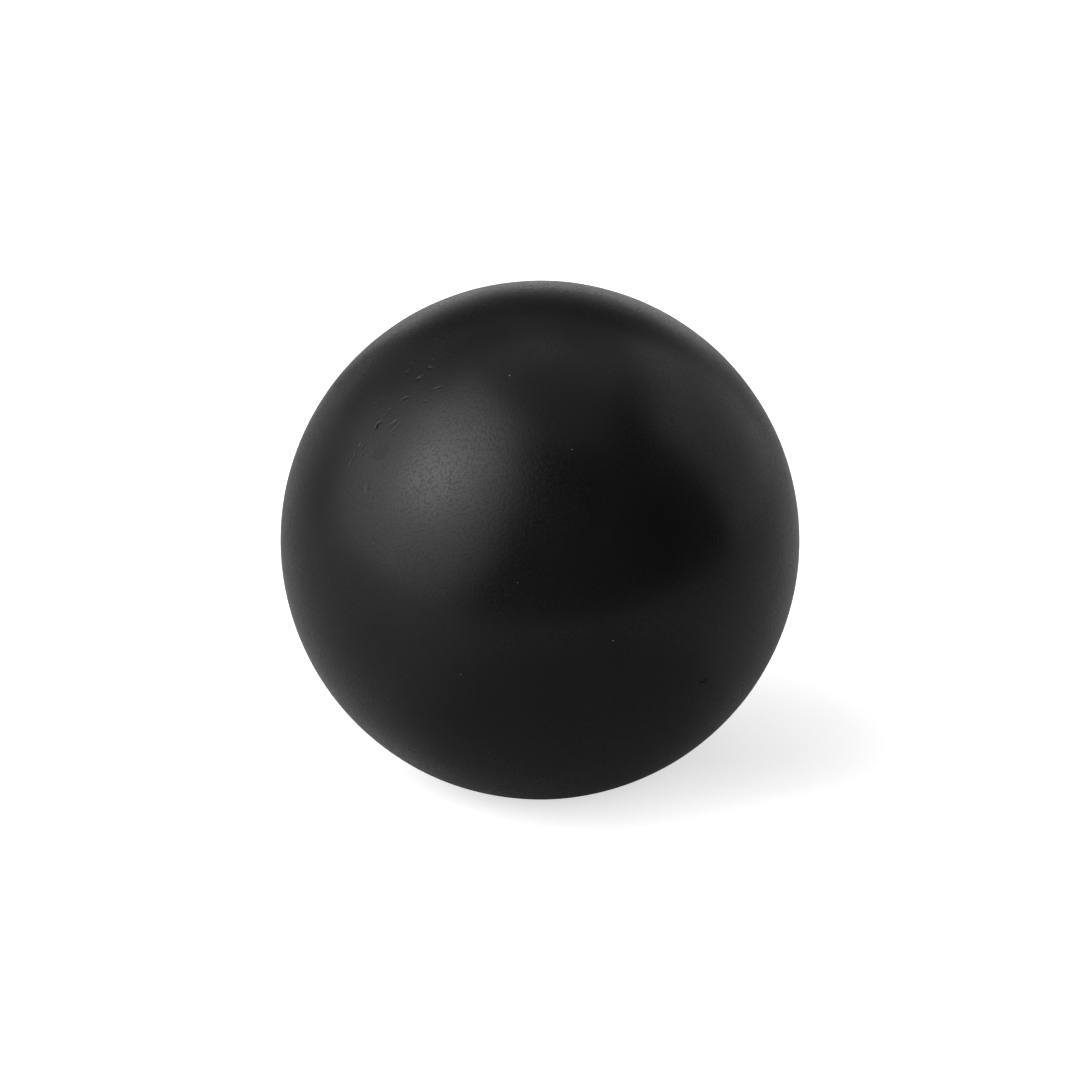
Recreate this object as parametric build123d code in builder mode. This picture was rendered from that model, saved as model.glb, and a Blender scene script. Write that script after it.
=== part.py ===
from build123d import *

import os
from math import pi, sqrt

# A croquet ball of the composition type: a pressed core inside two half covers, which meet in a
# spigot-and-socket joint round the equator and are cemented to the core and to each other.
# Millimetres, +Z up. The origin is the centre of the ball, and the joint lies in the XY plane.

# The ball
ball_diameter = 92.0
ball_weight = 453.6  # grams, 16 ounces

# The two half covers
shell_wall = 6.0
spigot_length = 4.0
spigot_wall = 2.95
spigot_lead_in = 0.5
socket_lead_in = 0.4

# The cement
core_film = 0.4
seam_film = 0.15
seam_end_gap = 0.2

# Densities in grams per cubic centimetre
shell_density = 1.14
cement_density = 1.2

ball_radius = ball_diameter / 2
bore_radius = ball_radius - shell_wall
core_radius = bore_radius - core_film
spigot_radius = bore_radius + spigot_wall
socket_radius = spigot_radius + seam_film
socket_depth = spigot_length + seam_end_gap
socket_floor_radius = sqrt(bore_radius**2 - socket_depth**2)  # where the floor meets the spherical bore

# The corners of the joint, as radius and height in the half section
outer_edge = (ball_radius, 0)
spigot_root = (spigot_radius, 0)
spigot_shoulder = (spigot_radius, spigot_lead_in - spigot_length)
spigot_tip_outer = (spigot_radius - spigot_lead_in, -spigot_length)
spigot_tip_inner = (bore_radius, -spigot_length)
bore_edge = (bore_radius, 0)
socket_mouth = (socket_radius + socket_lead_in, 0)
socket_throat = (socket_radius, -socket_lead_in)
socket_corner = (socket_radius, -socket_depth)
socket_floor_edge = (socket_floor_radius, -socket_depth)
core_edge = (core_radius, 0)

centre = (0, 0)
quarter_turn = 90

os.makedirs("parts", exist_ok=True)

# The upper half cover. Its bore is a hemisphere that runs straight down inside the spigot, so that the
# shell draws off its mould and slides over the core.
with BuildPart() as upper_shell:
    with BuildSketch(Plane.XZ):
        with BuildLine():
            CenterArc(centre, ball_radius, 0, quarter_turn)
            CenterArc(centre, bore_radius, 0, quarter_turn)
            Line((0, bore_radius), (0, ball_radius))
            Polyline(bore_edge, spigot_tip_inner, spigot_tip_outer, spigot_shoulder, spigot_root, outer_edge)
        make_face()
    revolve(axis=Axis.Z)
upper_shell.part.label = "upper_shell"

# The lower half cover. Its socket is deeper and wider than the spigot by the cement's thickness, and its
# outer land meets the upper shell's face to face, which leaves no gap at the surface of the ball.
socket_floor_angle = -Vector(socket_floor_radius, socket_depth).get_angle(Vector(1, 0))
with BuildPart() as lower_shell:
    with BuildSketch(Plane.XZ):
        with BuildLine():
            CenterArc(centre, ball_radius, 0, -quarter_turn)
            CenterArc(centre, bore_radius, socket_floor_angle, -quarter_turn - socket_floor_angle)
            Line((0, -bore_radius), (0, -ball_radius))
            Polyline(socket_floor_edge, socket_corner, socket_throat, socket_mouth, outer_edge)
        make_face()
    revolve(axis=Axis.Z)
lower_shell.part.label = "lower_shell"

# The ring of cement in the joint, which fills what the spigot leaves of the socket.
with BuildPart() as seam_cement:
    with BuildSketch(Plane.XZ):
        with BuildLine():
            Polyline(spigot_root, socket_mouth, socket_throat, socket_corner, socket_floor_edge)
            Polyline(socket_floor_edge, spigot_tip_inner, spigot_tip_outer, spigot_shoulder, spigot_root)
        make_face()
    revolve(axis=Axis.Z)
seam_cement.part.label = "seam_cement"

# The cement film inside each shell. The lower one also fills the sliver behind the spigot.
with BuildPart() as upper_core_cement:
    with BuildSketch(Plane.XZ):
        with BuildLine():
            CenterArc(centre, bore_radius, 0, quarter_turn)
            CenterArc(centre, core_radius, 0, quarter_turn)
            Line((0, core_radius), (0, bore_radius))
            Line(core_edge, bore_edge)
        make_face()
    revolve(axis=Axis.Z)
upper_core_cement.part.label = "upper_core_cement"

with BuildPart() as lower_core_cement:
    with BuildSketch(Plane.XZ):
        with BuildLine():
            CenterArc(centre, bore_radius, socket_floor_angle, -quarter_turn - socket_floor_angle)
            CenterArc(centre, core_radius, 0, -quarter_turn)
            Line((0, -core_radius), (0, -bore_radius))
            Polyline(socket_floor_edge, spigot_tip_inner, bore_edge, core_edge)
        make_face()
    revolve(axis=Axis.Z)
lower_core_cement.part.label = "lower_core_cement"

# The core, a ball of cork and rubber composition, pressed and ground round.
with BuildPart() as core:
    Sphere(core_radius)
core.part.label = "core"

export_step(upper_shell.part, "parts/upper_shell.step")
export_step(lower_shell.part, "parts/lower_shell.step")
export_step(seam_cement.part, "parts/seam_cement.step")
export_step(upper_core_cement.part, "parts/upper_core_cement.step")
export_step(lower_core_cement.part, "parts/lower_core_cement.step")
export_step(core.part, "parts/core.step")

# The core's density follows from the weight of the whole ball.
mm3_per_cm3 = 1000
shells = upper_shell.part.volume + lower_shell.part.volume
cement = seam_cement.part.volume + upper_core_cement.part.volume + lower_core_cement.part.volume
core_weight = ball_weight - (shells * shell_density + cement * cement_density) / mm3_per_cm3
solid = shells + cement + core.part.volume
print("volume left empty", round(4 / 3 * pi * ball_radius**3 - solid, 3), "mm3")
print("core density", round(core_weight / core.part.volume * mm3_per_cm3, 3), "g/cm3")
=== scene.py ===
from math import acos, cos, degrees, pi, radians, sin, sqrt, tan

import bmesh
import bpy
import numpy as np
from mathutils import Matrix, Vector


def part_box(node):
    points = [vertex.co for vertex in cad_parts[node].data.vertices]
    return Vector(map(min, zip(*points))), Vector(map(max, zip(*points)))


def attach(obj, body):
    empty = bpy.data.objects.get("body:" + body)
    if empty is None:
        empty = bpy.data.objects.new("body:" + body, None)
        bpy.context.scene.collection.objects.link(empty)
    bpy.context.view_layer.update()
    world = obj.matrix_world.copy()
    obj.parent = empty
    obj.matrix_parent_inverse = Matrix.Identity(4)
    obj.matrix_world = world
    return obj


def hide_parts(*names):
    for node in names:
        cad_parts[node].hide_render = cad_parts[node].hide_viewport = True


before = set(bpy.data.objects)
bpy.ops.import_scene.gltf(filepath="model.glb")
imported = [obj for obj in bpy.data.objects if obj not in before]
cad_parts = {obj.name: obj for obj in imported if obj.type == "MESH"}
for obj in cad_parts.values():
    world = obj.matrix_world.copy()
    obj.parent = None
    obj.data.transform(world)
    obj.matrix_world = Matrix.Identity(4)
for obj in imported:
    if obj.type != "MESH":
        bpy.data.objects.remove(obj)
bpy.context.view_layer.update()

scene = bpy.context.scene
MM = 0.001

# A black croquet ball on a white table. Its two half covers are made here, with the marks of wear on
# them. The core and the cement inside are the frame's own shapes, and are given materials.

# ---------------------------------------------------------------- sizes, read from the frame
# The ball's centre is the origin, and the joint between its two shells lies in the XY plane.
spigot_low, shell_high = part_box("upper_shell")
seam_low, seam_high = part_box("seam_cement")
BALL_RADIUS = shell_high.z
BORE_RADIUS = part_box("upper_core_cement")[1].z
SPIGOT_END = spigot_low.z
SOCKET_FLOOR = seam_low.z
SOCKET_MOUTH = seam_high.x
TABLE_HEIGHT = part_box("lower_shell")[0].z

# The joint's smallest steps, which no box gives
SEAM_FILM = 0.15 * MM
SOCKET_LEAD_IN = 0.4 * MM
SPIGOT_LEAD_IN = 0.5 * MM
SOCKET_RADIUS = SOCKET_MOUTH - SOCKET_LEAD_IN
SPIGOT_RADIUS = SOCKET_RADIUS - SEAM_FILM
SOCKET_FLOOR_RADIUS = sqrt(BORE_RADIUS**2 - SOCKET_FLOOR**2)


def direction(azimuth, elevation):
    """The unit vector at these angles in degrees. Azimuth 0 is the camera's side, -Y, and 90 is +X."""
    turn, rise = radians(azimuth), radians(elevation)
    return Vector((sin(turn) * cos(rise), -cos(turn) * cos(rise), sin(rise)))


def add_object(name, data):
    """A new object in the scene that shows this data."""
    made = bpy.data.objects.new(name, data)
    scene.collection.objects.link(made)
    return made


# ---------------------------------------------------------------- camera
# The lens and the sensor are in millimetres, the nearest distance in metres, the elevation in degrees.
LENS = 100.0
SENSOR = 36.0
NEAREST_SEEN = 0.01
CAMERA_ELEVATION = 20.0
BALL_SHARE_OF_FRAME = 0.4806


def make_camera():
    """A camera aimed at the ball's centre, at the distance that gives the ball its share of the frame."""
    data = bpy.data.cameras.new("camera")
    data.lens = LENS
    data.sensor_width = SENSOR
    data.clip_start = NEAREST_SEEN
    camera = add_object("camera", data)
    outline = BALL_SHARE_OF_FRAME * SENSOR / 2 / LENS
    distance = BALL_RADIUS * sqrt(1 + 1 / outline**2)
    back = direction(0, CAMERA_ELEVATION)
    camera.location = back * distance
    camera.rotation_mode = "QUATERNION"
    camera.rotation_quaternion = (-back).to_track_quat("-Z", "Y")
    scene.camera = camera


make_camera()

# ---------------------------------------------------------------- marks on the ball's surface
# A knock or scratch is a half width, a height (less than zero for a hollow) and a path. Widths and
# heights are in millimetres, and a path's points are azimuth and elevation in degrees on the ball.
KNOCKS = (
    # the row of deep knocks beside the highlight
    (0.27, -0.330, ((-49.4, 38.3), (-49.4, 39.1), (-49.0, 39.8))),
    (0.25, -0.030, ((-49.5, 36.8), (-49.6, 37.5))),
    (0.17, -0.030, ((-45.7, 38.6), (-45.3, 39.8), (-44.5, 40.8), (-43.2, 41.7))),
    (0.30, -0.055, ((-44.6, 39.9), (-43.9, 40.6), (-43.3, 41.2))),
    (0.17, -0.028, ((-43.3, 38.6), (-42.9, 39.7), (-42.3, 40.9), (-42.1, 42.1))),
    (0.22, -0.035, ((-43.2, 38.4), (-42.3, 38.2))),
    (0.22, -0.045, ((-46.1, 45.2), (-46.1, 46.0), (-45.3, 46.6), (-44.0, 46.9))),
    (0.16, 0.022, ((-45.3, 45.3), (-44.1, 46.2))),
    (0.22, -0.030, ((-55.8, 42.8), (-55.3, 43.3))),
    (0.20, -0.032, ((-54.4, 43.4), (-54.7, 44.5), (-54.2, 45.1))),
    (0.20, -0.036, ((-48.5, 42.5), (-48.4, 42.9), (-48.1, 43.4))),
    (0.22, -0.035, ((-47.7, 42.4), (-47.1, 42.5))),
    (0.18, -0.016, ((-46.9, 42.5), (-45.4, 42.5), (-44.2, 42.5))),
    (0.18, -0.016, ((-49.6, 40.9), (-48.8, 41.7))),
    # the softer ones above it
    (0.22, -0.032, ((-37.1, 49.9), (-35.8, 50.5), (-34.6, 51.3))),
    (0.25, -0.016, ((-38.4, 46.9), (-36.6, 47.0))),
    (0.34, -0.096, ((-45.3, 54.9), (-43.2, 54.9))),
    (0.40, -0.096, ((-45.9, 51.2), (-45.4, 51.6), (-44.7, 52.2))),
    (0.32, -0.080, ((-52.5, 52.7), (-52.4, 52.2), (-51.2, 51.8))),
    (0.32, -0.064, ((-54.6, 54.1), (-53.1, 54.4))),
    (0.36, -0.072, ((-45.9, 56.5), (-46.0, 57.3))),
    (0.32, -0.056, ((-49.2, 56.4), (-49.0, 56.5))),
    (0.26, -0.064, ((-56.1, 61.6), (-55.1, 62.3))),
    (0.30, -0.048, ((-54.8, 60.9), (-55.2, 61.1))),
    (0.30, -0.072, ((-51.1, 63.2), (-52.4, 63.7))),
    (0.24, -0.040, ((-51.3, 61.8), (-51.3, 62.7))),
    (0.45, -0.040, ((-53.7, 55.4), (-52.5, 56.1))),
    (0.40, -0.032, ((-67.2, 55.8), (-67.2, 56.6))),
    # the broken scratch below it
    (0.22, -0.070, ((-52.0, 33.0), (-52.0, 33.7), (-52.0, 34.4))),
    (0.40, -0.045, ((-51.0, 33.1), (-50.8, 33.9))),
    (0.20, -0.032, ((-52.3, 30.8), (-52.2, 31.6), (-52.1, 32.3))),
    (0.22, -0.042, ((-52.3, 28.7), (-52.4, 29.5), (-52.4, 30.3))),
    (0.22, -0.015, ((-52.0, 27.6), (-52.3, 28.2))),
    (0.22, -0.020, ((-49.7, 24.5), (-49.6, 25.2), (-49.9, 26.2))),
    (0.20, -0.020, ((-50.9, 24.0), (-50.2, 23.5), (-49.3, 23.0))),
    (0.22, -0.020, ((-47.5, 22.0), (-47.6, 22.7), (-47.4, 23.5))),
    (0.24, -0.022, ((-49.7, 31.6), (-49.7, 32.4), (-49.3, 32.8))),
    (0.45, -0.055, ((-43.7, 25.1), (-43.9, 25.8), (-44.2, 26.5))),
    # short strokes near the left outline
    (0.22, -0.025, ((-72.0, 13.3), (-71.7, 11.1), (-72.6, 8.6))),
    (0.22, -0.030, ((-68.7, 4.7), (-67.1, 3.3))),
    (0.22, -0.025, ((-68.4, 0.8), (-67.9, -0.8))),
    (0.25, -0.025, ((-71.6, 19.0), (-68.4, 18.5))),
    (0.22, -0.025, ((-59.3, 7.4), (-59.0, 5.9))),
    (0.20, 0.020, ((-56.9, 10.1), (-57.2, 8.5))),
    (0.25, 0.015, ((-57.9, 21.5), (-57.8, 19.1))),
    (0.25, 0.015, ((-56.5, 16.7), (-54.8, 15.8))),
    (0.35, 0.018, ((-39.2, 15.6), (-38.6, 14.5))),
    # the chip, with its crumbs, at the lower right
    (0.14, -0.140, ((36.8, -16.5), (38.2, -16.3), (39.3, -15.9))),
    (0.22, -0.240, ((39.2, -15.9), (39.3, -15.9))),
    (0.20, -0.220, ((39.2, -16.9), (39.4, -17.0))),
    (0.16, -0.060, ((39.2, -17.0), (37.8, -16.8))),
    (0.17, -0.160, ((34.3, -16.7), (34.5, -16.8))),
    (0.22, -0.018, ((35.8, -17.3), (36.0, -17.3))),
    (0.30, -0.015, ((43.5, -19.9), (44.1, -19.9))),
    (0.20, -0.018, ((33.8, -22.7), (34.0, -23.1))),
    # single small ones
    (0.20, -0.035, ((47.7, 52.0), (47.9, 52.0))),
    (0.20, -0.020, ((67.7, 39.8), (68.7, 38.4))),
    (0.22, 0.020, ((62.2, 61.9), (62.9, 61.0))),
    (0.25, 0.012, ((40.5, 45.0), (42.7, 42.9))),
    (0.18, -0.005, ((-7.1, 26.9), (-8.4, 25.4), (-10.3, 24.1))),
    (0.20, -0.030, ((-24.9, -38.6), (-24.0, -38.4))),
    (0.25, -0.035, ((-25.5, -44.4), (-24.3, -45.1))),
    (0.18, -0.015, ((-23.9, -49.3), (-23.4, -49.9))),
    (0.30, -0.040, ((-45.3, -44.0), (-42.8, -42.6), (-41.2, -43.4))),
    (0.25, -0.020, ((59.2, -20.1), (59.5, -19.1))),
    (0.30, -0.020, ((52.0, -30.1), (53.0, -28.6))),
)

# A ring is the print of a small round thing: its centre in degrees, and its radius, half width and
# height in millimetres.
RINGS = (
    (75.3, 22.6, 1.75, 0.20, -0.030),
    (38.9, -20.2, 2.2, 0.25, -0.008),
)

# A flat is a round place that is worn level: its centre in degrees and its radius in millimetres.
FLATS = ((-44.2, 34.1, 1.8),)

# Small scuffs on the sides that the picture doesn't show, fewer and shallower. Lengths are in
# millimetres, the bend is a share of half the length, and the least turn is in degrees.
HIDDEN_SCUFFS = 30
SCUFF_LENGTH = (0.6, 3.5)
SCUFF_HALF_WIDTH = (0.16, 0.32)
SCUFF_DEPTH = (0.012, 0.04)
SCUFF_BEND = 0.15
SCUFF_SEED = 11
LEAST_TURN_FROM_CAMERA = 95.0

# Above this height on the unit sphere, east is found from another axis
NEAR_POLE = 0.999

# The ball's very slight waviness, in millimetres
WAVES = 14
WAVE_LENGTH = (9.0, 22.0)
WAVE_HEIGHT = 0.0035
WAVE_SEED = 5


def random_scuffs():
    """Seeded knocks spread over the half of the ball that the camera doesn't see."""
    random = np.random.default_rng(SCUFF_SEED)
    camera_way = direction(0, CAMERA_ELEVATION)
    scuffs = []
    while len(scuffs) < HIDDEN_SCUFFS:
        azimuth = random.uniform(-180, 180)
        elevation = degrees(np.arcsin(random.uniform(-1, 1)))
        heading = random.uniform(0, pi)
        half_length = random.uniform(*SCUFF_LENGTH) / 2
        bend = random.normal(0, SCUFF_BEND)
        half_width = random.uniform(*SCUFF_HALF_WIDTH)
        depth = random.uniform(*SCUFF_DEPTH)
        middle = direction(azimuth, elevation)
        if degrees(middle.angle(camera_way)) >= LEAST_TURN_FROM_CAMERA:
            scuffs.append((half_width, -depth, bent_path(middle, heading, half_length, bend)))
    return scuffs


def bent_path(middle, heading, half_length, bend):
    """Three directions along a slightly bent stroke over the ball."""
    east, north = tangents(middle)
    path = []
    for step in (-1, 0, 1):
        along = step * half_length
        across = bend * half_length * (1 - step**2)
        shift_east = along * cos(heading) - across * sin(heading)
        shift_north = along * sin(heading) + across * cos(heading)
        shift = (east * shift_east + north * shift_north) * MM / BALL_RADIUS
        path.append((middle + shift).normalized())
    return path


def tangents(way):
    """East and north along the surface at this direction from the ball's centre."""
    up = Vector((0, 0, 1)) if abs(way.z) < NEAR_POLE else Vector((0, 1, 0))
    east = up.cross(way).normalized()
    return east, way.cross(east)


def local_plane(middle, ways):
    """Each way's place on the plane that touches the ball at the middle, in millimetres east and north."""
    east, north = tangents(middle)
    return np.column_stack((ways @ np.array(east), ways @ np.array(north))) * BALL_RADIUS / MM


def path_distance(points, path):
    """The distance of each point from a path, and how far along it the nearest place is, from 0 to 1."""
    nearest = np.full(len(points), np.inf)
    along = np.zeros(len(points))
    lengths = [np.linalg.norm(end - start) for start, end in zip(path, path[1:])]
    done = 0.0
    for start, end, length in zip(path, path[1:], lengths):
        run = (end - start) / length
        reach = np.clip((points - start) @ run, 0, length)
        gap = np.linalg.norm(points - start - reach[:, None] * run, axis=1)
        closer = gap < nearest
        nearest[closer] = gap[closer]
        along[closer] = (done + reach[closer]) / sum(lengths)
        done += length
    return nearest, along


# A knock's raised lip is a share of its depth, up to a height in millimetres. Its place and width are
# in the knock's half widths. The taper is the share of its depth that a knock keeps at its ends.
LIP_SHARE = 0.28
HIGHEST_LIP = 0.02
LIP_PLACE = 1.75
LIP_WIDTH = 0.7
LEAST_TAPER = 0.3

# How far a mark reaches, and how far its deepest part does, in its half widths
MARK_REACH = 4
MARK_CORE = 2

# A flat's soft edge, in millimetres
EDGE_OF_FLAT = 0.15


class Knock:
    """A dent, scratch or ridge along a short path."""

    def __init__(self, half_width, height, ways):
        self.half_width = half_width
        self.height = height
        self.lip = min(max(LIP_SHARE * height, -HIGHEST_LIP), HIGHEST_LIP)
        self.middle = sum(ways, Vector()).normalized()
        self.path = local_plane(self.middle, np.array(ways))
        self.reach = np.linalg.norm(self.path, axis=1).max() + MARK_REACH * half_width

    def distance(self, points):
        """Each point's distance from the path, in millimetres."""
        return path_distance(points, self.path)[0]

    def heights(self, points):
        """How far each point stands above the sphere, in millimetres."""
        gap, along = path_distance(points, self.path)
        across = gap / self.half_width
        hollow = np.exp(-(across**2))
        lip = self.lip * np.exp(-(((across - LIP_PLACE) / LIP_WIDTH) ** 2))
        taper = LEAST_TAPER + (1 - LEAST_TAPER) * np.sin(pi * along)
        return taper * (self.height * hollow - lip)


class Ring:
    """A groove or ridge round a small circle."""

    def __init__(self, azimuth, elevation, radius, half_width, height):
        self.middle = direction(azimuth, elevation)
        self.radius = radius
        self.half_width = half_width
        self.height = height
        self.reach = radius + MARK_REACH * half_width

    def distance(self, points):
        """Each point's distance from the circle, in millimetres."""
        return np.abs(np.linalg.norm(points, axis=1) - self.radius)

    def heights(self, points):
        """How far each point stands above the sphere, in millimetres."""
        return self.height * np.exp(-((self.distance(points) / self.half_width) ** 2))


class Flat(Ring):
    """A round place where the sphere is worn level, with no groove round it."""

    def __init__(self, azimuth, elevation, radius):
        super().__init__(azimuth, elevation, radius, EDGE_OF_FLAT, 0.0)

    def heights(self, points):
        """How far each point stands above the sphere, in millimetres: below it, inside the flat."""
        inside = np.maximum(self.radius**2 - (points**2).sum(axis=1), 0)
        ball_width = 2 * BALL_RADIUS / MM
        return -inside / ball_width


marks = []
for half_width, height, path in KNOCKS:
    marks.append(Knock(half_width, height, [direction(*place) for place in path]))
marks += [Knock(*scuff) for scuff in random_scuffs()]
marks += [Ring(*ring) for ring in RINGS]
marks += [Flat(*flat) for flat in FLATS]


def random_waves():
    """The wave vectors, per unit of direction, and the phases of the ball's waviness."""
    random = np.random.default_rng(WAVE_SEED)
    headings = random.normal(size=(WAVES, 3))
    headings /= np.linalg.norm(headings, axis=1, keepdims=True)
    lengths = random.uniform(*WAVE_LENGTH, WAVES) * MM
    return headings * (2 * pi * BALL_RADIUS / lengths)[:, None], random.uniform(0, 2 * pi, WAVES)


wave_vectors, wave_phases = random_waves()


def near(mark, ways, margin=0.0):
    """Which ways are within a mark's reach and a margin in millimetres."""
    turn = (mark.reach + margin) * MM / BALL_RADIUS
    return np.nonzero(ways @ np.array(mark.middle) > cos(turn))[0]


def surface_height(ways):
    """How far the surface stands above the true sphere in each direction, in metres."""
    height = np.sin(ways @ wave_vectors.T + wave_phases).sum(axis=1) * WAVE_HEIGHT
    for mark in marks:
        inside = near(mark, ways)
        if len(inside):
            height[inside] += mark.heights(local_plane(mark.middle, ways[inside]))
    return height * MM


def distance_to_marks(ways, margin):
    """Each way's distance from the nearest mark in millimetres, where that is within a margin."""
    gaps = np.full(len(ways), np.inf)
    for mark in marks:
        inside = near(mark, ways, margin)
        if len(inside):
            gap = mark.distance(local_plane(mark.middle, ways[inside])) - MARK_CORE * mark.half_width
            gaps[inside] = np.minimum(gaps[inside], gap)
    return gaps


# ---------------------------------------------------------------- shells
# A side is 1 for the upper half cover and -1 for the lower one. A dome has this many rings of
# triangles, and the inner ones have this many points in their rim.
OUTER_RINGS = 128
INNER_RINGS = 32
INNER_RIM = 4 * INNER_RINGS

# Each pass halves the edges within this distance of a mark's core, in millimetres
REFINE_WITHIN = (0.9, 0.45, 0.1)

# A point this near the joint's plane lies in it, in metres
RIM_TOLERANCE = 1e-7

# Surface slopes are measured over this step to each side, on the unit sphere
NORMAL_STEP = 2e-4

# Above this height on the unit sphere, the slopes are measured round another axis
STEEP = 0.9


def ring_points(count, radius, height):
    """Evenly spaced points round a level circle."""
    turns = [2 * pi * j / count for j in range(count)]
    return [(radius * cos(turn), radius * sin(turn), height) for turn in turns]


def dome(rings, radius, side, rim_angle=pi / 2):
    """A dome of triangles from its pole to its rim. Each ring has four more points than the one before."""
    points, faces = [(0.0, 0.0, side * radius)], []
    starts = [0]
    for k in range(1, rings + 1):
        starts.append(len(points))
        polar = k / rings * rim_angle
        points += ring_points(4 * k, radius * sin(polar), side * radius * cos(polar))
    for k in range(rings):
        here, around = starts[k], max(1, 4 * k)
        below, around_below = starts[k + 1], 4 * (k + 1)
        for quarter in range(4):
            for i in range(k + 1):
                top = here + (quarter * k + i) % around
                left = below + quarter * (k + 1) + i
                right = below + (quarter * (k + 1) + i + 1) % around_below
                faces.append((top, left, right))
                if i < k:
                    faces.append((top, right, here + (quarter * k + i + 1) % around))
    if side < 0:
        faces = [face[::-1] for face in faces]
    return points, faces


def in_rim(edge):
    """Whether an edge lies in the joint's plane."""
    return max(abs(corner.co.z) for corner in edge.verts) <= RIM_TOLERANCE


def refine(points, faces):
    """Smaller triangles round the marks. The rim's edges stay whole, so that the two shells' rims match."""
    bm = bmesh.new()
    corners = [bm.verts.new(point) for point in points]
    for face in faces:
        bm.faces.new([corners[i] for i in face])
    for margin in REFINE_WITHIN:
        centres = np.array([face.calc_center_median() for face in bm.faces])
        centres /= np.linalg.norm(centres, axis=1, keepdims=True)
        close = distance_to_marks(centres, margin) < margin
        edges = {edge for face, wanted in zip(bm.faces, close) if wanted for edge in face.edges}
        cut = [edge for edge in edges if not in_rim(edge)]
        cut.sort(key=lambda edge: edge.index)
        bmesh.ops.subdivide_edges(bm, edges=cut, cuts=1, use_grid_fill=True)
        bmesh.ops.triangulate(bm, faces=[face for face in bm.faces if len(face.verts) > 3])
        bm.edges.index_update()
    bm.verts.index_update()
    points = np.array([corner.co for corner in bm.verts])
    faces = [tuple(corner.index for corner in face.verts) for face in bm.faces]
    bm.free()
    return points, faces


def shape_surface(points):
    """The points moved to the ball's real surface, and the surface's normal at each."""
    ways = points / np.linalg.norm(points, axis=1, keepdims=True)
    ways[np.abs(ways[:, 2]) < RIM_TOLERANCE / BALL_RADIUS, 2] = 0
    ways /= np.linalg.norm(ways, axis=1, keepdims=True)
    axis = np.where(np.abs(ways[:, 2:]) < STEEP, (0.0, 0.0, 1.0), (1.0, 0.0, 0.0))
    east = np.cross(axis, ways)
    east /= np.linalg.norm(east, axis=1, keepdims=True)
    north = np.cross(ways, east)
    height = surface_height(ways)
    slopes = []
    for tangent in (east, north):
        beside = ways + tangent * NORMAL_STEP
        beside /= np.linalg.norm(beside, axis=1, keepdims=True)
        before = ways - tangent * NORMAL_STEP
        before /= np.linalg.norm(before, axis=1, keepdims=True)
        rise = surface_height(beside) - surface_height(before)
        slopes.append(rise[:, None] / (2 * NORMAL_STEP * BALL_RADIUS))
    normals = ways - slopes[0] * east - slopes[1] * north
    normals /= np.linalg.norm(normals, axis=1, keepdims=True)
    return ways * (BALL_RADIUS + height)[:, None], normals


def strip(upper, lower, count):
    """Triangles between two rings of the same number of points."""
    faces = []
    for j in range(count):
        k = (j + 1) % count
        faces.append((upper + j, lower + j, lower + k))
        faces.append((upper + j, lower + k, upper + k))
    return faces


def land(rim, inner, count):
    """Triangles across the flat land, from the fine outer rim to the first ring of the joint."""
    finer = len(rim) // count
    faces = []
    for j in range(count):
        k = (j + 1) % count
        edge = [rim[(j * finer + i) % len(rim)] for i in range(finer + 1)]
        half = finer // 2
        for i in range(finer):
            faces.append((edge[i], inner + (j if i < half else k), edge[i + 1]))
        faces.append((edge[half], inner + j, inner + k))
    return faces


def rim_numbers(points):
    """The numbers of the points in the joint's plane, in order round it."""
    in_plane = np.nonzero(np.abs(points[:, 2]) < RIM_TOLERANCE)[0]
    turns = np.arctan2(points[in_plane, 1], points[in_plane, 0]) % (2 * pi)
    return [int(i) for i in in_plane[np.argsort(turns)]]


def joint_surface(joint, rim, first, side):
    """The joint's rings of points, numbered from first, and the faces from the outer rim to the bore."""
    points = []
    for radius, height in joint:
        points += ring_points(INNER_RIM, radius, height)
    faces = land(rim, first, INNER_RIM)
    for i in range(len(joint) - 1):
        faces += strip(first + i * INNER_RIM, first + (i + 1) * INNER_RIM, INNER_RIM)
    if side < 0:
        faces = [face[::-1] for face in faces]
    return points, faces


def bore_surface(rim_height, first, side):
    """The bore's points, numbered from first, and its faces. Its rim is the ring of points before them."""
    points, faces = dome(INNER_RINGS, BORE_RADIUS, side, acos(side * rim_height / BORE_RADIUS))
    own = len(points) - INNER_RIM
    numbers = list(range(first, first + own)) + list(range(first - INNER_RIM, first))
    return points[:own], [tuple(numbers[i] for i in face[::-1]) for face in faces]


def make_shell(name, side, joint):
    """One half cover as a closed mesh: the marked outer dome, the joint's rings in order, and the bore."""
    plain_points, outer_faces = refine(*dome(OUTER_RINGS, BALL_RADIUS, side))
    outer_points, normals = shape_surface(plain_points)
    points = [tuple(point) for point in outer_points]
    joint_points, joint_faces = joint_surface(joint, rim_numbers(plain_points), len(points), side)
    points += joint_points
    bore_points, bore_faces = bore_surface(joint[-1][1], len(points), side)
    points += bore_points

    mesh = bpy.data.meshes.new(name)
    mesh.from_pydata(points, [], outer_faces + joint_faces + bore_faces)
    smooth = [True] * len(outer_faces) + [False] * len(joint_faces) + [True] * len(bore_faces)
    mesh.polygons.foreach_set("use_smooth", smooth)
    # a normal of zero leaves a corner the normal that its own faces give it
    corners = np.array(outer_faces).ravel()
    loop_normals = np.zeros((len(mesh.loops), 3))
    loop_normals[:len(corners)] = normals[corners]
    mesh.normals_split_custom_set(loop_normals)
    return add_object(name, mesh)


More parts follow.
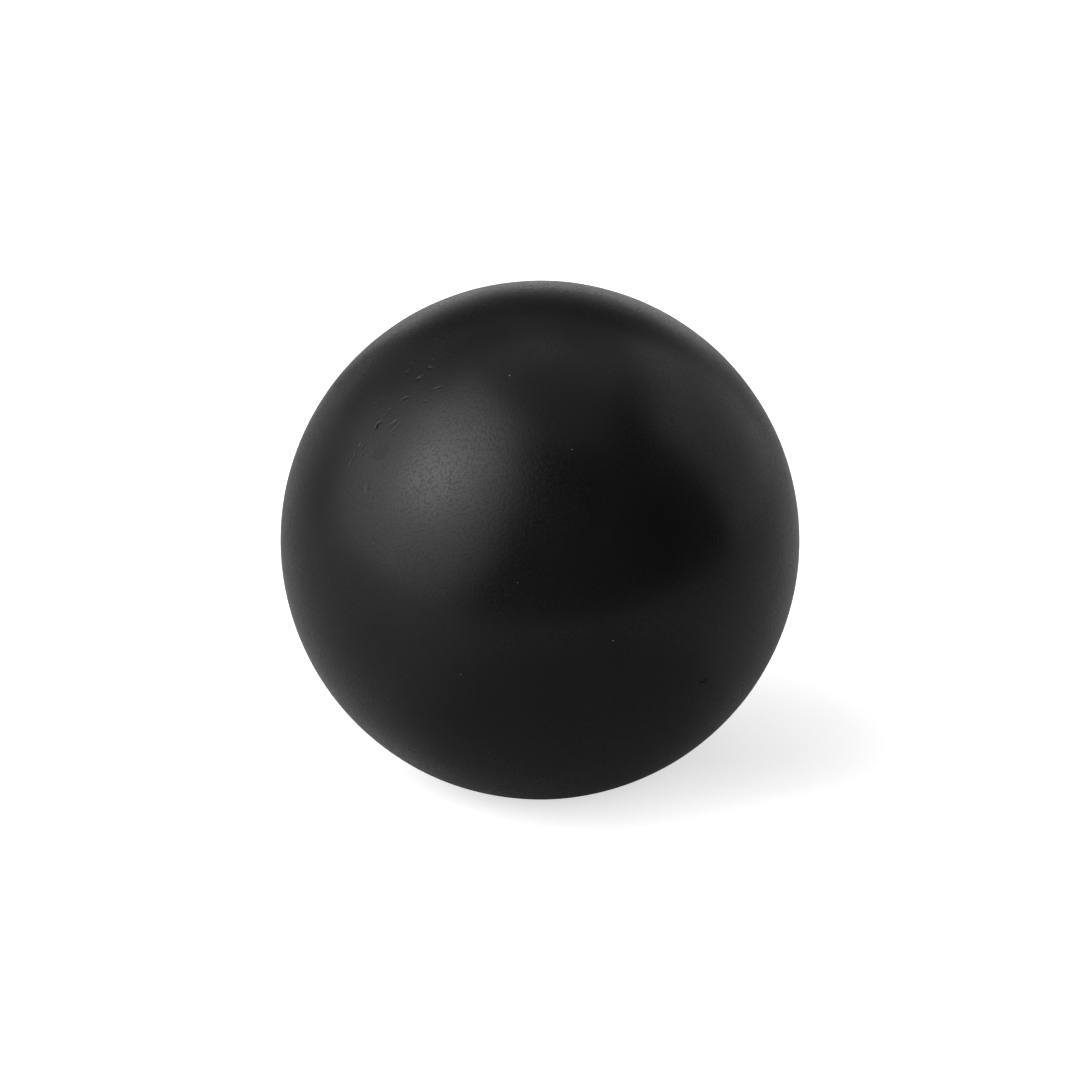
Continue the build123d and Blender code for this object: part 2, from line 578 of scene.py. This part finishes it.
upper_cover = make_shell("upper_cover", 1, (
    (SPIGOT_RADIUS, 0),
    (SPIGOT_RADIUS, SPIGOT_END + SPIGOT_LEAD_IN),
    (SPIGOT_RADIUS - SPIGOT_LEAD_IN, SPIGOT_END),
    (BORE_RADIUS, SPIGOT_END),
    (BORE_RADIUS, 0),
))
lower_cover = make_shell("lower_cover", -1, (
    (SOCKET_MOUTH, 0),
    (SOCKET_RADIUS, -SOCKET_LEAD_IN),
    (SOCKET_RADIUS, SOCKET_FLOOR),
    (SOCKET_FLOOR_RADIUS, SOCKET_FLOOR),
))


# ---------------------------------------------------------------- materials
# The black plastic: sizes and depths in millimetres. A pair is a lowest and a highest value.
GRAIN_SIZE, GRAIN_DEPTH = 0.6, 0.007
CREASE_SPACING, CREASE_DEPTH = 0.62, 0.006
CREASE_WIDTH = 0.3
PATCH_SIZE, PATCH_EDGE = 0.48, (0.45, 0.6)
POLISH_SIZE, ROUGHNESS = 9.0, (0.265, 0.295)
CREASE_ROUGHNESS = 0.1
SPECULAR, CREASE_SPECULAR = 0.515, 0.475
FLAT_DULLING = 0.045
BLACK_SIZE, BLACK = 14.0, (0.0055, 0.0075)
BLUE_SHARE = 1.03

# A speck of dust is its azimuth and elevation in degrees, and its radius in millimetres.
DUST = ((-11.3, 56.1, 0.13), (8.3, 38.6, 0.10), (-4.7, 11.3, 0.08), (15.1, -1.8, 0.13), (-16.8, -9.9, 0.09))
DUST_COLOUR = (0.3, 0.3, 0.29, 1)
DUST_SOFTNESS = 0.5

# The core: sizes and depths in millimetres
GRANULE_SIZE, GRANULE_DEPTH = 2.6, 0.15
GRANULE_SHARE, FLECK_SHARE = 0.6, 0.4
GRANULE_SHOULDER = 0.15
FLECK_SIZE, FLECK_DEPTH = 0.5, 0.05
CORK_ROUGHNESS = (0.7, 0.9)
DARK_CORK, LIGHT_CORK = (0.10, 0.045, 0.02, 1), (0.42, 0.25, 0.13, 1)
BINDER, BINDER_EDGE = (0.03, 0.02, 0.015, 1), (0.02, 0.09)

# The cement: sizes and depths in millimetres
CLOUD_SIZE, CLOUD_DEPTH = 6.0, 0.1
BUBBLE_SIZE, BUBBLE_DEPTH, BUBBLE_EDGE = 1.4, 0.06, (0.06, 0.2)
CEMENT_ROUGHNESS = (0.35, 0.5)
DARK_AMBER, LIGHT_AMBER = (0.34, 0.20, 0.07, 1), (0.56, 0.38, 0.18, 1)

# Most of a noise's values lie between these
NOISE_RANGE = (0.3, 0.7)

# The Mix node's colour sockets, which have the same names as its other ones
MIX_FIRST, MIX_SECOND, MIX_RESULT = 6, 7, 2


class Nodes:
    """Short names for making and joining a material's nodes."""

    def __init__(self, name):
        self.material = bpy.data.materials.new(name)
        self.material.use_nodes = True
        self.tree = self.material.node_tree
        self.shader = self.tree.nodes["Principled BSDF"]
        self.place = self.add("ShaderNodeTexCoord").outputs["Object"]

    def add(self, kind, settings=None, **inputs):
        """A node of this kind, with these settings and inputs. A _ in an input's name is a space."""
        node = self.tree.nodes.new(kind)
        for name, value in (settings or {}).items():
            setattr(node, name, value)
        for name, value in inputs.items():
            self.set(node.inputs[name.replace("_", " ")], value)
        return node

    def set(self, socket, value):
        """Joins another node's output to a socket, or gives the socket a number or colour."""
        if isinstance(value, bpy.types.NodeSocket):
            self.tree.links.new(value, socket)
        else:
            socket.default_value = value

    def noise(self, size, detail, roughness=0.5):
        """Noise whose features are about this size in metres."""
        node = self.add("ShaderNodeTexNoise", Vector=self.place, Scale=1 / size, Detail=detail,
                        Roughness=roughness)
        return node.outputs["Fac"]

    def cells(self, size, feature="F1"):
        """The outputs of a pattern of cells of about this size in metres."""
        node = self.add("ShaderNodeTexVoronoi", {"feature": feature}, Vector=self.place, Scale=1 / size,
                        Randomness=1.0)
        return node.outputs

    def remap(self, value, low, high, to_low, to_high):
        """The value, moved smoothly from one range to another and held at that range's ends."""
        node = self.add("ShaderNodeMapRange", {"interpolation_type": "SMOOTHSTEP"}, Value=value)
        for name, number in (("From Min", low), ("From Max", high), ("To Min", to_low), ("To Max", to_high)):
            node.inputs[name].default_value = number
        return node.outputs["Result"]

    def maths(self, operation, first, second):
        """The sum, product or other result of two values."""
        node = self.add("ShaderNodeMath", {"operation": operation})
        self.set(node.inputs[0], first)
        self.set(node.inputs[1], second)
        return node.outputs["Value"]

    def distance(self, point):
        """How far each place is from this point, in metres."""
        node = self.add("ShaderNodeVectorMath", {"operation": "DISTANCE"})
        self.set(node.inputs[0], self.place)
        node.inputs[1].default_value = point
        return node.outputs["Value"]

    def colour(self, red, green, blue):
        """A colour made from three values."""
        node = self.add("ShaderNodeCombineColor", Red=red, Green=green, Blue=blue)
        return node.outputs["Color"]

    def mix(self, factor, first, second):
        """The first colour where the factor is 0, and the second where it is 1."""
        node = self.add("ShaderNodeMix", {"data_type": "RGBA"}, Factor=factor)
        self.set(node.inputs[MIX_FIRST], first)
        self.set(node.inputs[MIX_SECOND], second)
        return node.outputs[MIX_RESULT]

    def ramp(self, value, dark, light):
        """A colour between these two, by a value from 0 to 1."""
        node = self.add("ShaderNodeValToRGB", Fac=value)
        node.color_ramp.elements[0].color = dark
        node.color_ramp.elements[1].color = light
        return node.outputs["Color"]

    def spot(self, azimuth, elevation, radius, edge):
        """1 in a round place on the ball and 0 outside it. Its radius and soft edge are in millimetres."""
        gap = self.distance(direction(azimuth, elevation) * BALL_RADIUS)
        return self.remap(gap, (radius - edge) * MM, radius * MM, 1, 0)

    def bump(self, height, depth, below=None):
        """A bump of this depth in metres, on top of another one."""
        node = self.add("ShaderNodeBump", Height=height, Distance=depth, Strength=1.0)
        if below:
            self.set(node.inputs["Normal"], below)
        return node.outputs["Normal"]


def creases(nodes):
    """1 in the plastic's short creases, which come in patches, and 0 between them."""
    edges = nodes.cells(CREASE_SPACING * MM, "DISTANCE_TO_EDGE")["Distance"]
    lines = nodes.remap(edges, 0, CREASE_WIDTH, 1, 0)
    patches = nodes.remap(nodes.noise(PATCH_SIZE * MM, detail=1), *PATCH_EDGE, 0, 1)
    return nodes.maths("MULTIPLY", lines, patches)


def specular_level(nodes, strokes):
    """A little lower in the creases, and in the places that are worn level."""
    level = nodes.remap(strokes, 0, 1, SPECULAR, CREASE_SPECULAR)
    for azimuth, elevation, radius in FLATS:
        rubbed = nodes.spot(azimuth, elevation, radius, EDGE_OF_FLAT)
        level = nodes.maths("SUBTRACT", level, nodes.maths("MULTIPLY", rubbed, FLAT_DULLING))
    return level


def dusty_black(nodes):
    """A nearly even black, with the pale specks of dust on it."""
    shade = nodes.remap(nodes.noise(BLACK_SIZE * MM, detail=3), *NOISE_RANGE, *BLACK)
    black = nodes.colour(shade, shade, nodes.maths("MULTIPLY", shade, BLUE_SHARE))
    dust = 0
    for azimuth, elevation, radius in DUST:
        speck = nodes.spot(azimuth, elevation, radius, DUST_SOFTNESS * radius)
        dust = nodes.maths("MAXIMUM", speck, dust)
    return nodes.mix(dust, black, DUST_COLOUR)


def black_plastic():
    """Satin black plastic: fine grain, short duller creases, a polish that varies, and wear and dust."""
    nodes = Nodes("black_plastic")
    shader = nodes.shader
    shader.inputs["IOR"].default_value = 1.5
    strokes = creases(nodes)
    nodes.set(shader.inputs["Base Color"], dusty_black(nodes))
    nodes.set(shader.inputs["Specular IOR Level"], specular_level(nodes, strokes))

    polish = nodes.noise(POLISH_SIZE * MM, detail=4, roughness=0.6)
    roughness = nodes.remap(polish, *NOISE_RANGE, *ROUGHNESS)
    roughness = nodes.maths("ADD", roughness, nodes.maths("MULTIPLY", strokes, CREASE_ROUGHNESS))
    nodes.set(shader.inputs["Roughness"], roughness)

    normal = nodes.bump(nodes.noise(GRAIN_SIZE * MM, detail=1), GRAIN_DEPTH * MM)
    normal = nodes.bump(nodes.maths("SUBTRACT", 1.0, strokes), CREASE_DEPTH * MM, normal)
    nodes.set(shader.inputs["Normal"], normal)
    return nodes.material


def cork_composition():
    """Pressed cork granules in dark rubber: each has its own brown, and the binder shows between them."""
    nodes = Nodes("cork_composition")
    shader = nodes.shader
    shader.inputs["IOR"].default_value = 1.45
    granules = nodes.cells(GRANULE_SIZE * MM)["Color"]
    edges = nodes.cells(GRANULE_SIZE * MM, "DISTANCE_TO_EDGE")["Distance"]
    flecks = nodes.noise(FLECK_SIZE * MM, detail=3, roughness=0.7)

    granule_tone = nodes.add("ShaderNodeSeparateColor", Color=granules).outputs["Red"]
    tone = nodes.maths("ADD", nodes.maths("MULTIPLY", granule_tone, GRANULE_SHARE),
                       nodes.maths("MULTIPLY", flecks, FLECK_SHARE))
    binder = nodes.remap(edges, *BINDER_EDGE, 1, 0)
    colour = nodes.mix(binder, nodes.ramp(tone, DARK_CORK, LIGHT_CORK), BINDER)
    nodes.set(shader.inputs["Base Color"], colour)
    nodes.set(shader.inputs["Roughness"], nodes.remap(flecks, *NOISE_RANGE, *CORK_ROUGHNESS))
    rise = nodes.bump(nodes.remap(edges, 0, GRANULE_SHOULDER, 0, 1), GRANULE_DEPTH * MM)
    nodes.set(shader.inputs["Normal"], nodes.bump(flecks, FLECK_DEPTH * MM, rise))
    return nodes.material


def cured_cement():
    """Amber cement, rolled thin: cloudy patches, small bubbles and a satin skin."""
    nodes = Nodes("cured_cement")
    shader = nodes.shader
    shader.inputs["IOR"].default_value = 1.5
    clouds = nodes.noise(CLOUD_SIZE * MM, detail=4, roughness=0.6)
    nodes.set(shader.inputs["Base Color"], nodes.ramp(clouds, DARK_AMBER, LIGHT_AMBER))
    nodes.set(shader.inputs["Roughness"], nodes.remap(clouds, *NOISE_RANGE, *CEMENT_ROUGHNESS))
    hollows = nodes.remap(nodes.cells(BUBBLE_SIZE * MM)["Distance"], *BUBBLE_EDGE, 0, 1)
    rise = nodes.bump(clouds, CLOUD_DEPTH * MM)
    nodes.set(shader.inputs["Normal"], nodes.bump(hollows, BUBBLE_DEPTH * MM, rise))
    return nodes.material


plastic = black_plastic()
for cover, node in ((upper_cover, "upper_shell"), (lower_cover, "lower_shell")):
    cover.data.materials.append(plastic)
    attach(cover, "root")
    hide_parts(node)


def dress(node, material):
    """Gives a carried-over CAD node its material."""
    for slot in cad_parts[node].material_slots:
        slot.material = material


cement = cured_cement()
dress("core", cork_composition())
for node in ("seam_cement", "upper_core_cement", "lower_core_cement"):
    dress(node, cement)


# ---------------------------------------------------------------- studio
# The table's edges, in metres
FLOOR_FRONT, FLOOR_BACK, FLOOR_SIDE = -0.24, 2.5, 1.6

# The picture's table is whitened, so to the camera it also gives off some light: a little more in front of
# the ball, which is painted light that lightens the ball's shadow there, and enough far away, from one
# distance in metres to another, to be white.
FLOOR_SHADE = 0.6
FLOOR_ROUGHNESS, FLOOR_SPECULAR = 0.8, 0.1
FLOOR_LIFT = 0.58
# painted light in front of the ball, which lightens the ball's shadow there
FRONT_PAINTED_LIGHT = 0.12
FAR_FLOOR = (0.3, 0.8)
FAR_FLOOR_LIFT = 1.1

# The ball mirrors a darker and slightly glossy table, darkest in front of the ball, where its colour is
# painted shade.
MIRRORED_SHADE = 0.51
MIRRORED_PAINTED_SHADE_IN_FRONT = 0.34
MIRRORED_ROUGHNESS, MIRRORED_SPECULAR = 0.45, 0.5
MIRRORED_GLOW = 0.03

# The place in front of the ball that holds the painted shade and painted light: its middle, its radius, and
# how far it fades out
PAINTED_FRONT_MIDDLE = (18 * MM, -75 * MM, TABLE_HEIGHT)
PAINTED_FRONT_RADIUS = 52 * MM
PAINTED_FRONT_FADE = 36 * MM


def floor_material():
    """A pale table: nearly white to the camera, and darker where the ball mirrors it, with painted light and
    painted shade in front of the ball.
    """
    nodes = Nodes("floor")
    inputs = nodes.shader.inputs
    inputs["Emission Color"].default_value = (1, 1, 1, 1)
    seen = nodes.add("ShaderNodeLightPath").outputs["Is Camera Ray"]
    unseen = nodes.maths("SUBTRACT", 1, seen)
    nodes.set(inputs["Roughness"], nodes.remap(seen, 0, 1, MIRRORED_ROUGHNESS, FLOOR_ROUGHNESS))
    nodes.set(inputs["Specular IOR Level"], nodes.remap(seen, 0, 1, MIRRORED_SPECULAR, FLOOR_SPECULAR))

    # the place of the painted shade and painted light in front of the ball
    front = (nodes.distance(PAINTED_FRONT_MIDDLE), PAINTED_FRONT_RADIUS, PAINTED_FRONT_RADIUS + PAINTED_FRONT_FADE)
    # painted shade: the table that the ball mirrors is darker in front of the ball
    mirrored_tone_and_painted_shade = nodes.remap(*front, MIRRORED_PAINTED_SHADE_IN_FRONT, MIRRORED_SHADE)
    shade = nodes.maths("ADD", nodes.maths("MULTIPLY", mirrored_tone_and_painted_shade, unseen),
                        nodes.maths("MULTIPLY", FLOOR_SHADE, seen))
    nodes.set(inputs["Base Color"], nodes.colour(shade, shade, shade))

    camera_glow_and_painted_light = nodes.remap(nodes.distance((0, 0, TABLE_HEIGHT)), *FAR_FLOOR, FLOOR_LIFT, FAR_FLOOR_LIFT)
    # painted light: the table glows more in front of the ball, lightening the ball's shadow there
    camera_glow_and_painted_light = nodes.maths("ADD", camera_glow_and_painted_light, nodes.remap(*front, FRONT_PAINTED_LIGHT, 0))
    light = nodes.maths("ADD", nodes.maths("MULTIPLY", MIRRORED_GLOW, unseen),
                        nodes.maths("MULTIPLY", camera_glow_and_painted_light, seen))
    nodes.set(inputs["Emission Strength"], light)
    return nodes.material


def make_floor():
    """The table that the ball stands on."""
    low, high = (-FLOOR_SIDE, FLOOR_FRONT), (FLOOR_SIDE, FLOOR_BACK)
    corners = (low, (high[0], low[1]), high, (low[0], high[1]))
    mesh = bpy.data.meshes.new("floor")
    mesh.from_pydata([(x, y, TABLE_HEIGHT) for x, y in corners], [], [(0, 1, 2, 3)])
    mesh.materials.append(floor_material())
    floor = add_object("floor", mesh)


WIDEST_SPREAD = 180


def softbox(name, azimuth, elevation, distance, width, height, radiance, spread=WIDEST_SPREAD):
    """A rectangular light that faces the ball, this bright at its middle. A narrow spread dims its edges."""
    data = bpy.data.lights.new(name, "AREA")
    data.shape = "RECTANGLE"
    data.size = width
    data.size_y = height
    data.spread = radians(spread)
    data.energy = radiance * pi * width * height
    if spread < WIDEST_SPREAD:
        # Blender makes a lamp brighter by the inverse of this, the narrower its spread is
        half = radians(spread) / 2
        data.energy *= 1 - half / tan(half)
    light = add_object(name, data)
    towards = direction(azimuth, elevation)
    light.location = towards * distance
    light.rotation_mode = "QUATERNION"
    light.rotation_quaternion = towards.to_track_quat("Z", "Y")
    light.visible_camera = False
    return light


# Each lamp's name, azimuth and elevation in degrees, distance, width and height in metres, radiance,
# and its spread in degrees where that is narrow
LIGHTS = (
    ("key", -61, 36, 1.5, 0.6, 0.6, 1.8),
    ("key_glow_right", -42, 42, 1.5, 1.5, 1.5, 1.3, 50),
    ("key_glow_top", -64, 54, 1.5, 1.5, 1.5, 1.3, 50),
    ("scrim", -66, 28, 1.5, 3.2, 3.2, 2.3, 106),
    ("scrim_low", -62, 26, 1.5, 2.4, 2.2, 1.0, 110),
    ("scrim_top", -62, 62, 1.5, 1.2, 0.6, 0.55),
    ("right_fill", 115, 25, 1.0, 1.0, 1.0, 0.75),
    ("right_top_fill", 120, 50, 1.0, 0.8, 0.5, 0.2),
    ("back_panel", 180, 4, 1.2, 0.9, 0.5, 0.75),
    ("back_middle_panel", 180, 12, 1.2, 0.9, 0.3, 0.15),
    ("back_top_panel", 180, 20, 1.2, 1.4, 0.3, 0.2),
    ("back_left_panel", -140, 5, 1.2, 0.6, 0.4, 0.5),
    ("back_right_panel", 148, 5, 1.2, 0.5, 0.5, 0.3),
    ("back_left_top_panel", -150, 62, 1.0, 0.7, 0.7, 0.3),
    ("back_right_top_panel", 150, 65, 1.0, 0.7, 0.7, 0.25),
    ("left_panel", -112, 15, 1.0, 0.5, 0.6, 0.35),
    ("left_top_panel", -130, 32, 1.0, 0.6, 0.6, 0.3),
    ("overhead", 0, 88, 1.0, 1.0, 1.0, 0.45),
)
make_floor()
for light in LIGHTS:
    softbox(*light)
# this one lights the table in front of the ball, and the ball doesn't mirror it
floor_fill = softbox("floor_fill", 8, 20, 1.0, 0.8, 0.5, 4.0)
floor_fill.visible_glossy = False

# The world's brightness in the room and behind the table
AMBIENT = 0.13
PAPER_WHITE = 1.1

# Deepens the dark tones, as in the picture
VIEW_GAMMA = 0.75


def make_world():
    """White behind the table, and the room's dim light on everything."""
    world = bpy.data.worlds.new("studio")
    world.use_nodes = True
    tree = world.node_tree
    room = tree.nodes["Background"]
    room.inputs["Color"].default_value = (1, 1, 1, 1)
    room.inputs["Strength"].default_value = AMBIENT
    paper = tree.nodes.new("ShaderNodeBackground")
    paper.inputs["Color"].default_value = (1, 1, 1, 1)
    paper.inputs["Strength"].default_value = PAPER_WHITE
    path = tree.nodes.new("ShaderNodeLightPath")
    mix = tree.nodes.new("ShaderNodeMixShader")
    tree.links.new(path.outputs["Is Camera Ray"], mix.inputs["Fac"])
    tree.links.new(room.outputs["Background"], mix.inputs[1])
    tree.links.new(paper.outputs["Background"], mix.inputs[2])
    tree.links.new(mix.outputs["Shader"], tree.nodes["World Output"].inputs["Surface"])
    scene.world = world


make_world()
scene.view_settings.view_transform = "Standard"
scene.view_settings.gamma = VIEW_GAMMA
